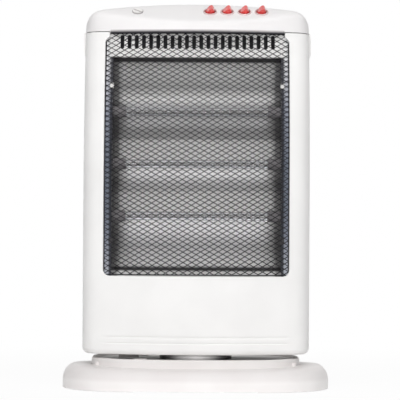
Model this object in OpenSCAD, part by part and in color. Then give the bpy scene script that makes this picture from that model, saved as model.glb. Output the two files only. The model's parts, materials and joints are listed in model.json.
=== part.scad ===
// Upright halogen room heater that swings from side to side on an oval foot.
// Millimetres. Z up, front towards -Y, origin on the floor under the turning axis.
// Three quartz tubes stand in a polished trough behind a guard of expanded metal.

/* [Base] */
// Width of the foot
base_w = 308; // [290:1:340]
// Depth of the foot
base_d = 190; // [180:1:220]
// Height of the foot's upright skirt
skirt_h = 10; // [8:0.5:12]
// Radius of the foot's four corners seen from above
base_corner_r = 75; // [70:1:80]
// Radius of the foot's long sides seen from above
base_side_r = 400; // [380:5:600]
// Width of the rounded shoulder above the skirt
shoulder_w = 13; // [10:1:15]
// Height of that shoulder
shoulder_h = 18; // [16:0.5:20]
// Width of the raised pedestal
pedestal_w = 241; // [220:1:250]
// Depth of the raised pedestal
pedestal_d = 154; // [145:1:156]
// Height of the pedestal's rim
rim_z = 36.5; // [36:0.1:38]
// Depth of the dish inside the rim
dish_depth = 2.5; // [2:0.1:3]
// Wall of the foot
base_wall = 2.4; // [2:0.1:3]
// Thickness of the plate under the foot
base_plate_t = 2; // [1.5:0.1:3]
// Height of the rubber pads
pad_h = 3; // [2.5:0.1:4]
// Width of the rubber pads
pad_d = 18; // [14:1:22]

/* [Head] */
// Width of the body
head_w = 262; // [250:1:270]
// Turning axis to the front face at the foot of the body
head_front = 58; // [56:0.5:62]
// Turning axis to the back face
head_rear = 56; // [56:0.5:62]
// Lower edge of the body above the floor
head_z = 41; // [39:0.5:46]
// Rounding of that edge
edge_r = 7; // [4:0.5:8]
// Seam under the top cap above the floor
seam_z = 414; // [406:1:430]
// Radius of the upright corners
corner_r = 24; // [20:1:25]
// Radius of the front face seen from above
front_r = 400; // [380:5:500]
// Radius of the back face seen from above
rear_r = 500; // [450:5:700]
// Radius of the front face's sweep backwards
sweep_r = 560; // [520:5:700]
// Height where the front face starts to sweep back
sweep_z = 220; // [200:1:240]
// Wall of the body
wall = 2.4; // [2:0.1:3]
// Joint between the front and rear housings, behind the axis
split_y = 17; // [16:0.5:18]

/* [Window and guard] */
// Width of the window
window_w = 212; // [200:1:214]
// Lower edge of the window above the floor
window_z = 131.5; // [125:0.5:140]
// Radius of the window's lower corners
window_r = 5; // [3:0.5:8]
// How far the window's upper corners come in
window_top_in = 5; // [3:0.5:6]
// Thickness of the guard's metal
guard_t = 0.9; // [0.6:0.1:1.2]
// Width of one diamond of the guard
mesh_w = 20.2; // [18:0.1:26]
// Height of one diamond of the guard
mesh_h = 11.7; // [10:0.1:15]
// Width of a strand of the guard
strand_w = 1.5; // [1.2:0.1:2]
// Distance of the guard behind the front face
guard_set = 4; // [3:0.5:5]
// Radius of the guard seen from above
guard_r = 440; // [420:5:500]

/* [Heating] */
// Height of the middle tube above the floor
tube_z = 260; // [255:0.5:265]
// Spacing of the tubes
tube_pitch = 60.5; // [58:0.5:63]
// Diameter of the quartz tubes
tube_d = 10; // [8:0.5:12]
// Wall of the quartz tubes
tube_wall = 1; // [0.8:0.1:1.5]
// Tube axis in front of the turning axis
tube_y = 10; // [6:0.5:14]
// Diameter of the ceramic ends
ceramic_d = 13; // [13:0.5:15]
// Length of the ceramic ends
ceramic_len = 20; // [16:1:24]
// Distance of the trough's ends inside the window's sides
trough_inset = 8.5; // [8:0.5:12]
// Thickness of the trough's sheet
sheet_t = 0.8; // [0.6:0.1:1]
// Number of upright slots above the trough
slot_count = 22; // [18:1:24]
// Distance of the outer slots from the trough's ends
slot_margin = 10; // [8:0.5:12]
// Width of those slots
slot_w = 4.2; // [3.5:0.1:4.8]
// Length of those slots
slot_len = 16.5; // [12:0.5:18]

/* [Top cap and switches] */
// Height of the top cap above its seam
cap_h = 34.8; // [32:0.2:40]
// Slope of the switch panel, rise over run
panel_slope = 0.66; // [0.5:0.01:0.8]
// Radius of the top seen from the front
crown_r = 800; // [700:10:1200]
// Rounding of the top's side and rear edges
top_edge = 18; // [14:0.5:20]
// Number of rocker switches
switch_count = 4; // [3:1:5]
// Centre of the leftmost switch from the middle of the heater
switch_x = 14.6; // [10:0.1:20]
// Spacing of the switches
switch_pitch = 20; // [18:0.1:22]
// Outer diameter of a switch bezel
bezel_d = 16.2; // [15:0.1:17]
// Travel of a rocker in degrees
rocker_travel = 18; // [14:1:18]
// Place of the round plug from the middle of the heater
plug_x = -70; // [-80:1:-50]

/* [Turning gear] */
// Outer diameter of the polished ring
ring_d = 84; // [76:1:96]
// Inner diameter of the polished ring
ring_bore = 68; // [60:1:72]
// Outer diameter of the hollow pivot
sleeve_d = 24; // [22:0.5:26]
// Bore of the hollow pivot
sleeve_bore = 19; // [16:0.5:20]
// Running clearance of the turning parts, on the radius
run_gap = 0.06; // [0.03:0.01:0.1]
// Greatest swing of the body to each side in degrees
swing = 30; // [20:1:32]
// Turning axis to the motor's shaft
crank_x = 41; // [40:0.5:44]
// Diameter of the crank pin
pin_d = 6; // [5:0.5:7]
// Diameter of the motor
motor_d = 49; // [46:1:50]

/* [Back] */
// Width of the carrying recess
recess_w = 112; // [90:1:120]
// Height of the carrying recess's mouth
recess_h = 26; // [22:1:30]
// Depth of the carrying recess
recess_deep = 24; // [20:1:26]
// Lower edge of the recess's mouth under the top cap's seam
recess_drop = 48; // [44:1:64]
// Rows of vents in the back
vent_rows = 12; // [8:1:13]
// Spacing of the vent rows
vent_pitch = 9; // [8:0.5:10]
// Height of a vent
vent_h = 3.6; // [3:0.1:4.5]

/* [Hidden] */
$fn = 64;
eps = 0.01;
gap = 0.3;                      // between parts that move past each other
seat = 0.2;                     // between parts that are pushed together
fit = 0.02;                     // between parts that grip each other
plate_z = pad_h;                // underside of the base plate
dish_z = rim_z - dish_depth;
ceiling_z = dish_z - 3;         // underside of the pedestal's floor
head_plate_z = head_z + 1;          // underside of the head's bottom plate
head_plate_t = 2.5;
front_top = head_front - back_at(seam_z);
top_z = seam_z + cap_h;          // greatest height of the heater
seam_cut = 0.5;                 // groove that marks the seam under the top cap
recess_z = seam_z - recess_drop;
ring_steps = [9, 10, 7];        // front arc, corners and rear arc of a ring
switch_y = -0.6;                // switches in front of the turning axis
panel_tilt = atan(panel_slope);
crank_r = crank_x * tan(swing); // the pin is at its side when the body is at its limit
slot_clear = 1.6;               // each side of the pin in the swing arm
trough_y = 10;                  // back of the trough behind the axis
ridge_y = -6;
trough_w = window_w - 2 * trough_inset;
slot_pitch = (trough_w - 2 * slot_margin) / (slot_count - 1);
flange_lap = 2.5;               // flanges of the trough's ends behind the window's sides
flange_w = trough_inset + flange_lap;
guard_half = window_w / 2 - 0.6;
guard_back = guard_set + guard_r - sqrt(pow(guard_r - guard_t, 2) - pow(guard_half, 2));
wall_back = front_r - sqrt(pow(front_r - wall, 2) - pow(window_w / 2 + flange_lap, 2));
face_set = max(guard_back, wall_back) + gap;  // trough's face behind the front face
face_top = seam_z + 5;          // the face ends inside the cap and behind the window's sill
face_bottom = window_z - 8;
recess_top = seam_z - 31;       // upper edge of the trough's mouth
recess_bottom = window_z + 7;
boss_x = head_w / 2 - 12;
boss_r = 5;
boss_len = 19;                  // behind the split
screw_seat = 8;                 // depth of the screw heads' seats behind the split
boss_from = [28, 10, -58];      // bosses from the lower edge, the sweep's start and the seam
boss_z = [head_z, sweep_z, seam_z] + boss_from;
housing_screw_len = 18;

// ---------- outlines and lofts ----------

// How far the front face has swept back at a height.
function back_at(z) = z <= sweep_z ? 0 : sweep_r - sqrt(pow(sweep_r, 2) - pow(z - sweep_z, 2));

function arc(c, r, a0, a1, n, first = 0) =
  [for (i = [first : n]) let (a = a0 + (a1 - a0) * i / n) [c.x + r * sin(a), c.y - r * cos(a)]];

// Right half of an oval from its front centre: front arc and corner.
function front_half(w, yf, rc, rf) =
  let (cx = w / 2 - rc, f = rf - yf, a = asin(cx / (rf - rc)),
       c = [cx, f - sqrt(pow(rf - rc, 2) - pow(cx, 2))])
  concat(arc([0, f], rf, 0, a, ring_steps[0]), arc(c, rc, a, 90, ring_steps[1], 1));

// Right half of an oval up to its rear centre: corner and rear arc.
function rear_half(w, yr, rc, rr) =
  let (cx = w / 2 - rc, g = yr - rr, a = asin(cx / (rr - rc)),
       c = [cx, g + sqrt(pow(rr - rc, 2) - pow(cx, 2))])
  concat(arc(c, rc, 90, 180 - a, ring_steps[1]), arc([0, g], rr, 180 - a, 180, ring_steps[2], 1));

function mirrored(points) = [for (i = [len(points) - 2 : -1 : 1]) [-points[i].x, points[i].y]];

// Closed oval, all of it drawn in by d.
function oval(w, yf, yr, rc, rf, rr, d = 0) =
  let (half = concat(front_half(w - 2 * d, yf - d, rc - d, rf - d),
                     rear_half(w - 2 * d, yr - d, rc - d, rr - d)))
  concat(half, mirrored(half));

pedestal_corner_r = base_corner_r - 13;
pedestal_side_r = base_side_r - 70;

// Outlines seen from above, drawn in by d.
function base_oval(d) =
  oval(base_w, base_d / 2, base_d / 2, base_corner_r, base_side_r, base_side_r, d);
function pedestal_oval(d) =
  oval(pedestal_w, pedestal_d / 2, pedestal_d / 2, pedestal_corner_r, pedestal_side_r, pedestal_side_r, d);
function head_oval(z, d = 0) =
  oval(head_w, head_front - back_at(z), head_rear, corner_r, front_r, rear_r, d);

function at_height(ring, z) = [for (p = ring) [p.x, p.y, z]];

// Solid through a list of closed rings that all have as many points.
module ring_loft(rings) {
  n = len(rings[0]);
  last = len(rings) - 1;
  sides = [for (k = [0 : last - 1], i = [0 : n - 1]) let (j = (i + 1) % n)
           [k * n + i, (k + 1) * n + i, (k + 1) * n + j, k * n + j]];
  ends = [[for (i = [0 : n - 1]) i], [for (i = [n - 1 : -1 : 0]) last * n + i]];
  polyhedron(points = [for (r = rings, p = r) p], faces = concat(ends, sides), convexity = 8);
}

// Open wall between two lists of curves that start and end side by side.
module wall_loft(outer, inner) {
  n = len(outer[0]);
  rows = len(outer);
  m = n * rows;
  function id(k, i, inside) = (inside ? m : 0) + k * n + i;
  skins = [for (s = [false, true], k = [0 : rows - 2], i = [0 : n - 2])
           let (f = [id(k, i, s), id(k + 1, i, s), id(k + 1, i + 1, s), id(k, i + 1, s)])
           s ? [f[3], f[2], f[1], f[0]] : f];
  brims = [for (k = [0, rows - 1], i = [0 : n - 2])
           let (f = [id(k, i, false), id(k, i + 1, false), id(k, i + 1, true), id(k, i, true)])
           k == 0 ? f : [f[3], f[2], f[1], f[0]]];
  edges = [for (i = [0, n - 1], k = [0 : rows - 2])
           let (f = [id(k, i, false), id(k, i, true), id(k + 1, i, true), id(k + 1, i, false)])
           i == 0 ? f : [f[3], f[2], f[1], f[0]]];
  polyhedron(points = [for (c = concat(outer, inner), p = c) p],
             faces = concat(skins, brims, edges), convexity = 8);
}

module round_rect(w, h, r) {
  square([w - 2 * r, h], center = true);
  square([w, h - 2 * r], center = true);
  for (x = [-1, 1], y = [-1, 1]) translate([x * (w / 2 - r), y * (h / 2 - r)]) circle(r);
}

module ring_2d(r_out, r_in) {
  difference() {
    circle(r_out);
    circle(r_in);
  }
}

module tube(r_out, r_in, h) {
  linear_extrude(h) ring_2d(r_out, r_in);
}

// Pan head screw that points down, with its head's underside at the origin.
module screw(len, r = 1.5, head = 3) {
  difference() {
    cylinder(r = head, h = 1.8);
    for (a = [0, 90]) rotate(a) translate([-0.4, -head * 0.7, 0.9]) cube([0.8, head * 1.4, 1.5]);
  }
  translate([0, 0, -len]) cylinder(r = r, h = len + eps);
}

// ---------- base ----------

base_screw_at = [for (x = [-1, 1], y = [-1, 1]) [x * (pedestal_w / 2 - 9), y * (pedestal_d / 2 - 39)]];
pad_at = [for (x = [-1, 1], y = [-1, 1]) [x * (base_w / 2 - 62), y * (base_d / 2 - 33)]];

// The shoulder and the pedestal's foot lie a little lower towards the front and back.
function shoulder_z(y) = shoulder_h - 3 * pow(2 * y / base_d, 2);
function foot_z(y) = skirt_h + shoulder_h + 0.8 - 2.2 * pow(2 * y / pedestal_d, 2);

base_outer = concat(
  [at_height(base_oval(0.8), 1), at_height(base_oval(0), 1.8)],
  [for (t = [0 : 11.25 : 90]) [for (p = base_oval(shoulder_w * (1 - cos(t))))
   [p.x, p.y, skirt_h + shoulder_z(p.y) * sin(t)]]],
  [for (s = [[-0.3, 0], [-0.1, 0.8]]) [for (p = pedestal_oval(s[0])) [p.x, p.y, foot_z(p.y) + s[1]]]],
  [for (s = [[0, 2.2], [0.6, 0.8], [1.6, 0.1], [2.6, 0], [4.5, 0], [5.5, 0.9], [6, dish_depth]])
   at_height(pedestal_oval(s[0]), rim_z - s[1])]);

base_inner = concat(
  [at_height(base_oval(base_wall), 0), at_height(base_oval(base_wall), skirt_h)],
  [for (t = [30, 60, 90]) [for (p = base_oval(base_wall + shoulder_w * (1 - cos(t))))
   [p.x, p.y, skirt_h + (shoulder_z(p.y) - base_wall) * sin(t)]]],
  [[for (p = pedestal_oval(1.5)) [p.x, p.y, foot_z(p.y) - base_wall]]],
  [at_height(pedestal_oval(3.2), ceiling_z)]);

stop_x = pedestal_w / 2 - 31;   // outer end of the swing stop and its ribs
stop_w = 23;
stop_a = swing + 7.5;           // angle of the stop ribs from the stop at rest

module base_shell() {
  color("white") difference() {
    union() {
      difference() {
        ring_loft(base_outer);
        ring_loft(base_inner);
      }
      for (a = [-1, 1]) rotate(a * stop_a) translate([-stop_x, -1.5, dish_z - eps])
        cube([stop_w - 5, 3, dish_depth - 0.1]);
      for (p = base_screw_at) translate([p.x, p.y, plate_z + base_plate_t])
        cylinder(r = 4, h = ceiling_z - plate_z - base_plate_t + 1);
    }
    translate([0, 0, ceiling_z - 5]) cylinder(r = sleeve_d / 2 + 3, h = 12);
    for (p = base_screw_at) translate([p.x, p.y, 0]) cylinder(r = 1.3, h = 20);
    translate([-70, -base_d, -1]) cube([140, 2 * base_d, 3]);
  }
}

module base_plate() {
  color("dimgray") difference() {
    translate([0, 0, plate_z]) linear_extrude(base_plate_t) polygon(base_oval(base_wall + seat));
    for (p = base_screw_at) translate([p.x, p.y, 0]) cylinder(r = 1.7, h = 9);
    translate([tip_x, 0, 0]) cylinder(r = tip_r + run_gap, h = 9);
    for (x = [-30 : 10 : 30], s = [-1, 1]) translate([x, s * (base_d / 2 - 35) - 8, 0]) cube([4, 16, 9]);
  }
}

module foot_pads() {
  color("black") for (p = pad_at) translate([p.x, p.y, 0]) {
    cylinder(r1 = pad_d / 2 - 1, r2 = pad_d / 2, h = 1);
    translate([0, 0, 1 - eps]) cylinder(r = pad_d / 2, h = pad_h - 1 + eps);
  }
}

module base_screws() {
  color("silver") for (p = base_screw_at) translate([p.x, p.y, plate_z]) mirror([0, 0, 1]) screw(10, 1.25);
}

module turntable_ring() {
  color("silver") translate([0, 0, dish_z]) difference() {
    tube(ring_d / 2, ring_bore / 2, head_plate_z - dish_z - gap);
    translate([0, 0, 2]) rotate_extrude() translate([ring_d / 2, 0]) circle(0.6);
  }
}

module pivot_bush() {
  r = sleeve_d / 2;
  color("ivory") {
    translate([0, 0, ceiling_z - 1]) tube(r + 3, r + run_gap, dish_z - ceiling_z + 1);
    translate([0, 0, dish_z]) tube(r + 7, r + run_gap, 1.5);
  }
}

// ---------- turning gear inside the base ----------

sleeve_z = 24;                  // lower end of the hollow pivot
clip_z = sleeve_z + 0.8;
arm_z = clip_z + 1.6;
arm_t = 3;
crank_z = 22.2;
crank_t = 2.8;
motor_top = crank_z - 1.6;
shaft_r = 3.5;

module swing_motor() {
  z0 = plate_z + base_plate_t;
  color("silver") translate([-crank_x, 0, 0]) difference() {
    union() {
      translate([0, 0, z0]) cylinder(r = motor_d / 2, h = motor_top - z0);
      for (y = [-1, 1]) translate([-5, y * motor_d / 2 - 5, z0]) cube([10, 10, 1.2]);
    }
    translate([0, 0, z0 + 4]) cylinder(r = shaft_r + run_gap, h = 30);
    for (y = [-1, 1]) translate([0, y * (motor_d / 2 + 2.5), 0]) cylinder(r = 1.5, h = 20);
  }
}

module motor_shaft() {
  color("gray") translate([-crank_x, 0, plate_z + base_plate_t + 4 + gap])
    cylinder(r = shaft_r, h = crank_z + crank_t - plate_z - base_plate_t - 4 - gap);
}

module crank() {
  pin_x = -crank_x - crank_r;
  color("dimgray") difference() {
    union() {
      translate([-crank_x, 0, crank_z]) cylinder(r = 7.5, h = crank_t);
      translate([pin_x, 0, crank_z]) cylinder(r = 5.5, h = crank_t);
      translate([pin_x, -4.5, crank_z]) cube([crank_r, 9, crank_t]);
      translate([pin_x, 0, crank_z]) cylinder(r = pin_d / 2, h = arm_z + arm_t - crank_z + 0.6);
    }
    translate([-crank_x, 0, 0]) cylinder(r = shaft_r, h = 60);
  }
}

module swing_arm() {
  slot_r = pin_d / 2 + slot_clear;
  inner = sqrt(pow(crank_x, 2) + pow(crank_r, 2)) - 2;
  outer = crank_x + crank_r + 2;
  color("gainsboro") translate([0, 0, arm_z]) linear_extrude(arm_t) difference() {
    union() {
      circle(sleeve_d / 2 + 5);
      translate([-outer, -slot_r - 3]) square([outer, 2 * slot_r + 6]);
      translate([-outer, 0]) circle(slot_r + 3);
    }
    circle(sleeve_d / 2 + fit);
    translate([-outer, -slot_r]) square([outer - inner, 2 * slot_r]);
    for (x = [inner, outer]) translate([-x, 0]) circle(slot_r);
  }
}

module retaining_clip() {
  color("silver") translate([0, 0, clip_z]) linear_extrude(1.4) difference() {
    ring_2d(sleeve_d / 2 + 3, sleeve_d / 2 - 0.8 + fit);
    translate([0, -3]) square([30, 6]);
  }
}

module pivot_sleeve() {
  top = head_plate_z + head_plate_t;
  color("silver") difference() {
    union() {
      translate([0, 0, sleeve_z]) cylinder(r = sleeve_d / 2, h = top - sleeve_z + eps);
      translate([0, 0, top]) cylinder(r = sleeve_d / 2 + 12, h = 2.5);
    }
    translate([0, 0, sleeve_z - 1]) cylinder(r = sleeve_bore / 2, h = 60);
    translate([0, 0, clip_z - 0.05]) tube(sleeve_d, sleeve_d / 2 - 0.8, 1.5);
    for (a = [45 : 90 : 315]) rotate(a) translate([sleeve_d / 2 + 7.5, 0, top - 1])
      cylinder(r = 1.8, h = 9);
  }
}

// The tip-over switch cuts the current when its plunger drops out of the base.
tip_x = base_w / 2 - 59;
tip_r = 3.2;
tip_travel = 4;

module tip_switch() {
  z0 = plate_z + base_plate_t;
  color("dimgray") difference() {
    translate([tip_x - 14, -6, z0]) cube([28, 12, 17]);
    translate([tip_x, 0, z0 - 1]) cylinder(r = tip_r + 1.5, h = 12);
  }
}

module tip_plunger() {
  z0 = plate_z + base_plate_t;
  color("ivory") {
    translate([tip_x, 0, gap / 2]) cylinder(r = tip_r, h = z0 + 6);
    translate([tip_x, 0, z0 + tip_travel + gap]) cylinder(r = tip_r + 1.2, h = 1.5);
  }
}

// ---------- head shells ----------

// Curve of the body in front of the split, from left to right.
function front_curve(z, d) =
  let (h = front_half(head_w - 2 * d, head_front - back_at(z) - d, corner_r - d, front_r - d),
       half = concat(h, [[head_w / 2 - d, split_y]]))
  [for (p = concat([for (i = [len(half) - 1 : -1 : 1]) [-half[i].x, half[i].y]], half)) [p.x, p.y, z]];

// Curve of the body behind the split, from right to left.
function rear_curve(z, d) =
  let (h = rear_half(head_w - 2 * d, head_rear - d, corner_r - d, rear_r - d),
       half = concat([[head_w / 2 - d, split_y]], h))
  [for (p = concat(half, [for (i = [len(half) - 2 : -1 : 0]) [-half[i].x, half[i].y]])) [p.x, p.y, z]];

// Levels of the housings, each with how far it is drawn in.
edge_levels = [for (t = [0 : 22.5 : 90]) [head_z + edge_r * (1 - cos(t)), edge_r * (1 - sin(t))]];
sweep_n = 10;
sweep_levels = [for (i = [0 : sweep_n]) [sweep_z + (seam_z - seam_cut - sweep_z) * i / sweep_n, 0]];
seam_levels = [[seam_z - seam_cut, 0], [seam_z, seam_cut]];

function inner_inset(d) = wall + max(d - 0.8, 0);

// Window seen from the front, open under the cap, where its sides come in.
module window_2d() {
  w = window_w / 2;
  half = concat(arc([w - window_r, window_z + window_r], window_r, 0, 90, 6),
    [for (p = [[0, 12], [0.25, 9.5], [0.9, 6.2], [1, 5.2], [1, -1]])
     [w - window_top_in * p[0], seam_z - p[1]]]);
  polygon(concat(half, [for (i = [len(half) - 1 : -1 : 0]) [-half[i].x, half[i].y]]));
}

module through_y(y0, y1) {
  translate([0, y1, 0]) rotate([90, 0, 0]) linear_extrude(y1 - y0) children();
}

module front_housing() {
  levels = concat(edge_levels, sweep_levels, [seam_levels[1]]);
  color("white") difference() {
    union() {
      wall_loft([for (l = levels) front_curve(l[0], l[1])],
                [for (l = levels) front_curve(l[0], inner_inset(l[1]))]);
      for (s = [-1, 1], z = boss_z) translate([s * boss_x, split_y, z]) {
        rotate([90, 0, 0]) cylinder(r = boss_r, h = 22);
        translate([s > 0 ? 0 : -10.5, -22, -1.5]) cube([10.5, 22, 3]);
      }
    }
    through_y(-100, -head_front + window_depth) window_2d();
    for (z = groove_z) translate([0, front_r - head_front, z]) rotate_extrude($fn = 300)
      translate([front_r, 0]) circle(0.7, $fn = 16);
    for (s = [-1, 1], z = boss_z) translate([s * boss_x, split_y + 1, z])
      rotate([90, 0, 0]) cylinder(r = 1.3, h = 20);
  }
}

window_depth = head_front + 14; // how far back the window's tool reaches
groove_z = [head_z + 13, head_z + 20];

// Slots in three columns across the back.
module vents(rows, z0) {
  for (x = [-1, 0, 1], i = [0 : rows - 1]) translate([x * vent_w * 7 / 6, 0, z0 + i * vent_pitch])
    through_y(head_rear - 12, head_rear + 2) round_rect(vent_w, vent_h, 1.5);
}

vent_w = 48;

module rear_housing() {
  levels = concat(edge_levels, seam_levels);
  color("white") difference() {
    union() {
      wall_loft([for (l = levels) rear_curve(l[0], l[1])],
                [for (l = levels) rear_curve(l[0], inner_inset(l[1]))]);
      for (s = [-1, 1], z = boss_z) translate([s * boss_x, split_y, z])
        rotate([-90, 0, 0]) cylinder(r = boss_r, h = boss_len);
    }
    through_y(head_rear - 8, head_rear + 2) translate([0, recess_z + recess_h / 2])
      round_rect(recess_w, recess_h, 8);
    vents(vent_rows, 190);
    vents(4, head_z + 28);
    translate([inlet_x, 0, inlet_z]) rotate([-90, 0, 0]) cylinder(r = inlet_r, h = 80);
    for (s = [-1, 1], z = boss_z) translate([s * boss_x, 0, z]) rotate([-90, 0, 0]) {
      cylinder(r = 1.7, h = 60);
      translate([0, 0, split_y + screw_seat]) cylinder(r = 3.6, h = 40);
    }
  }
}

inlet_x = 92;
inlet_z = 78;
inlet_r = 8;

// Inside of the back at a distance from the middle.
function rear_inside(x) = head_rear - rear_r + sqrt(pow(rear_r - wall, 2) - x * x);

module cord_inlet() {
  brim = 2;
  y0 = rear_inside(inlet_x + inlet_r + brim) - brim - seat;
  color("dimgray") translate([inlet_x, y0, inlet_z]) rotate([-90, 0, 0]) difference() {
    union() {
      cylinder(r = inlet_r - 0.1, h = 13);
      cylinder(r = inlet_r + brim, h = brim);
    }
    translate([0, 0, -1]) cylinder(r = 4, h = 20);
  }
}

module housing_screws() {
  color("silver") for (s = [-1, 1], z = boss_z) translate([s * boss_x, split_y + screw_seat, z])
    rotate([-90, 0, 0]) screw(housing_screw_len, 1.25);
}

// Cup behind the rear housing that the fingers reach into.
module handle_cup() {
  y1 = head_rear - wall - 1.2;
  y0 = y1 - recess_deep;
  z = recess_z + (recess_h + 6) / 2;
  color("white") difference() {
    intersection() {
      translate([0, 0, z]) through_y(y0, head_rear) round_rect(recess_w + 8, recess_h + 12, 9);
      translate([0, 0, recess_z - 20]) linear_extrude(100) polygon(head_oval(head_z, wall + 0.05));
    }
    translate([0, 0, z]) through_y(y0 + 2, head_rear + 1) round_rect(recess_w + 4, recess_h + 8, 7);
  }
}

module bottom_plate() {
  color("white") difference() {
    translate([0, 0, head_plate_z]) linear_extrude(head_plate_t)
      polygon(head_oval(head_z, inner_inset(lookup(head_plate_z, edge_levels)) + seat / 2));
    cylinder(r = sleeve_d / 2 + seat, h = 60);
    for (a = [45 : 90 : 315]) rotate(a) translate([sleeve_d / 2 + 7.5, 0, 0]) cylinder(r = 1.3, h = 60);
    for (x = [-60 : 12 : 60]) translate([x, 42, 0]) cube([5, 8, 60], center = true);
  }
}

module swing_stop() {
  color("dimgray") translate([-stop_x, -6, dish_z + 1]) cube([stop_w, 12, head_plate_z - dish_z - 1]);
}

// ---------- top cap ----------

function smooth_min(a, b, k) = -k * ln(exp(-a / k) + exp(-b / k));
function ease(t) = let (u = min(max(t, 0), 1)) u * u * (3 - 2 * u);

// The front face goes on with the same slope up to the edge where the switch panel starts.
cap_front = front_top - 7.5 * tan(asin((seam_z - sweep_z) / sweep_r));
cap_edge_z = seam_z + 10.8;

// The switch panel slopes up to the crown, which falls away to the sides and the back.
function cap_z(x, y) =
  smooth_min(cap_edge_z + (y + cap_front) * panel_slope,
             top_z - x * x / (2 * crown_r) - pow(y - 14, 2) / 900, 1.2);

function edge_size(y) = 4.5 + (top_edge - 4.5) * ease((y + 8) / 26);

function edge_drop(d, e) = d >= e ? 0 : e - sqrt(e * e - pow(e - d, 2));

function cap_oval(d) = oval(head_w, cap_front, head_rear, corner_r, front_r, rear_r, d);

function cap_ring(d, low) =
  [for (p = cap_oval(d + low)) [p.x, p.y, cap_z(p.x, p.y) - edge_drop(d, edge_size(p.y)) - low]];

function cap_inner_ring(d, s, low) =
  let (c = [0, (head_rear - cap_front) / 2])
  [for (p = cap_oval(d + low)) let (q = c + (p - c) * s) [q.x, q.y, cap_z(q.x, q.y) - low]];

module cap_solid(low, steps, shrink) {
  ring_loft(concat(
    low > 0 ? [at_height(head_oval(seam_z, low), seam_z - eps)]
            : [at_height(head_oval(seam_z, seam_cut), seam_z), at_height(head_oval(seam_z), seam_z + seam_cut)],
    [for (d = steps) cap_ring(d, low)],
    [for (s = shrink) cap_inner_ring(top_edge, s, low)]));
}

// Places children on the switch panel, with their Z square to it.
module on_panel(x) {
  y = switch_y;
  translate([x, y, cap_edge_z + (y + cap_front) * panel_slope]) rotate([panel_tilt, 0, 0]) children();
}

module top_cap() {
  color("white") difference() {
    cap_solid(0, [0, 0.6, 2.4, 5.3, 9, 13.3, top_edge], [0.8, 0.6, 0.4, 0.2, 0.02]);
    cap_solid(wall, [0, 3, 9, top_edge], [0.7, 0.35, 0.02]);
    for (i = [0 : switch_count - 1]) on_panel(switch_x + i * switch_pitch)
      translate([0, 0, -10]) cylinder(r = switch_hole, h = 20);
    on_panel(plug_x) translate([0, 0, -10]) cylinder(r = 5.2, h = 20);
  }
  color("white") lip();
}

// Lip of the cap that hangs into the window's open top.
module lip() {
  half = window_w / 2 - window_top_in - gap;
  translate([0, 0, seam_z - 2]) linear_extrude(3) intersection() {
    translate([-half, -head_front]) square([2 * half, head_front]);
    difference() {
      polygon(head_oval(seam_z, seam_cut));
      polygon(head_oval(seam_z, wall - seat));
    }
  }
}

module round_plug() {
  color("gainsboro") on_panel(plug_x) difference() {
    union() {
      cylinder(r = 6.5, h = 1.2);
      translate([0, 0, -5]) cylinder(r = 5, h = 5.1);
    }
    rotate(-35) translate([-4.5, -0.8, 0.5]) cube([9, 1.6, 3]);
  }
}

// ---------- switches ----------

switch_hole = bezel_d / 2 - 0.8;
well_r = bezel_d / 2 - 1.3;
bezel_h = 1.6;
pivot_w = -1.2;                 // rocker's pivot under the panel
pivot_r = 1;
rocker_r = well_r - 1;

module switch_body(i) {
  color("whitesmoke") on_panel(switch_x + (i - 1) * switch_pitch) difference() {
    union() {
      cylinder(r = bezel_d / 2, h = bezel_h);
      translate([0, 0, -15]) cylinder(r = switch_hole - 0.1, h = 15.1);
    }
    translate([0, 0, -8]) cylinder(r = well_r, h = 20);
    translate([0, 0, bezel_h]) cylinder(r1 = well_r, r2 = bezel_d / 2, h = 1.2, center = true);
    translate([0, switch_hole, pivot_w]) rotate([90, 0, 0])
      cylinder(r = pivot_r + run_gap, h = 2 * switch_hole);
  }
}

// Side of the rocker: it falls away to the left and stands up on the right when off.
rocker_side = [
  for (p = [[-0.93, -4], [-1, -1.5], [-1, 0.2], [-0.92, 1.2], [-0.6, 1.9], [0.13, 4.7], [0.33, 5.3],
            [0.53, 5.1], [0.72, 3.6], [0.81, 2.4], [0.93, 0.6], [0.99, -1.5], [0.93, -4]])
  [p.x * rocker_r, p.y]];

module rocker(i) {
  color("red") on_panel(switch_x + (i - 1) * switch_pitch) {
    intersection() {
      translate([0, 0, -5]) cylinder(r = rocker_r, h = 20);
      rotate([90, 0, 0]) linear_extrude(2 * rocker_r + 2, center = true) polygon(rocker_side);
    }
    translate([0, 0, pivot_w]) rotate([90, 0, 0])
      cylinder(r = pivot_r, h = 2 * switch_hole - 0.8, center = true);
  }
}

// ---------- guard ----------

guard_z0 = window_z + 1;
guard_z1 = seam_z - 1.5;
tab_w = 5;
tab_x = [for (i = [-1, 0, 1]) i * (window_w / 2 - 23)];

// Sheet bowed from side to side, and backwards where it follows the front face's sweep.
module guard_sheet() {
  half = asin(guard_half / guard_r);
  translate([0, guard_r - head_front + guard_set, 0]) rotate([0, 0, -90 - half])
    rotate_extrude(angle = 2 * half, $fn = 600) {
      translate([guard_r - guard_t, guard_z0]) square([guard_t, sweep_z - guard_z0 + eps]);
      intersection() {
        translate([guard_r - sweep_r, sweep_z]) ring_2d(sweep_r, sweep_r - guard_t, $fn = 400);
        translate([guard_r - 90, sweep_z]) square([91, seam_z + 2 - sweep_z]);
      }
    }
}

module diamond(w, h) {
  polygon([[w / 2, 0], [0, h / 2], [-w / 2, 0], [0, -h / 2]]);
}

module guard_holes() {
  rim = 3.5;
  mid = (guard_z0 + guard_z1) / 2;
  nx = floor((guard_half - rim) / mesh_w * 2);
  nz = floor((guard_z1 - guard_z0 - 2 * rim) / mesh_h);
  through_y(-70, 10) translate([0, mid])
    for (i = [-nx + 1 : nx - 1], j = [-nz + 1 : nz - 1]) if ((i + j) % 2 == 0)
      translate([i * mesh_w / 2, j * mesh_h / 2]) diamond(mesh_w - 2 * strand_w, mesh_h - strand_w * 1.2);
}

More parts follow.
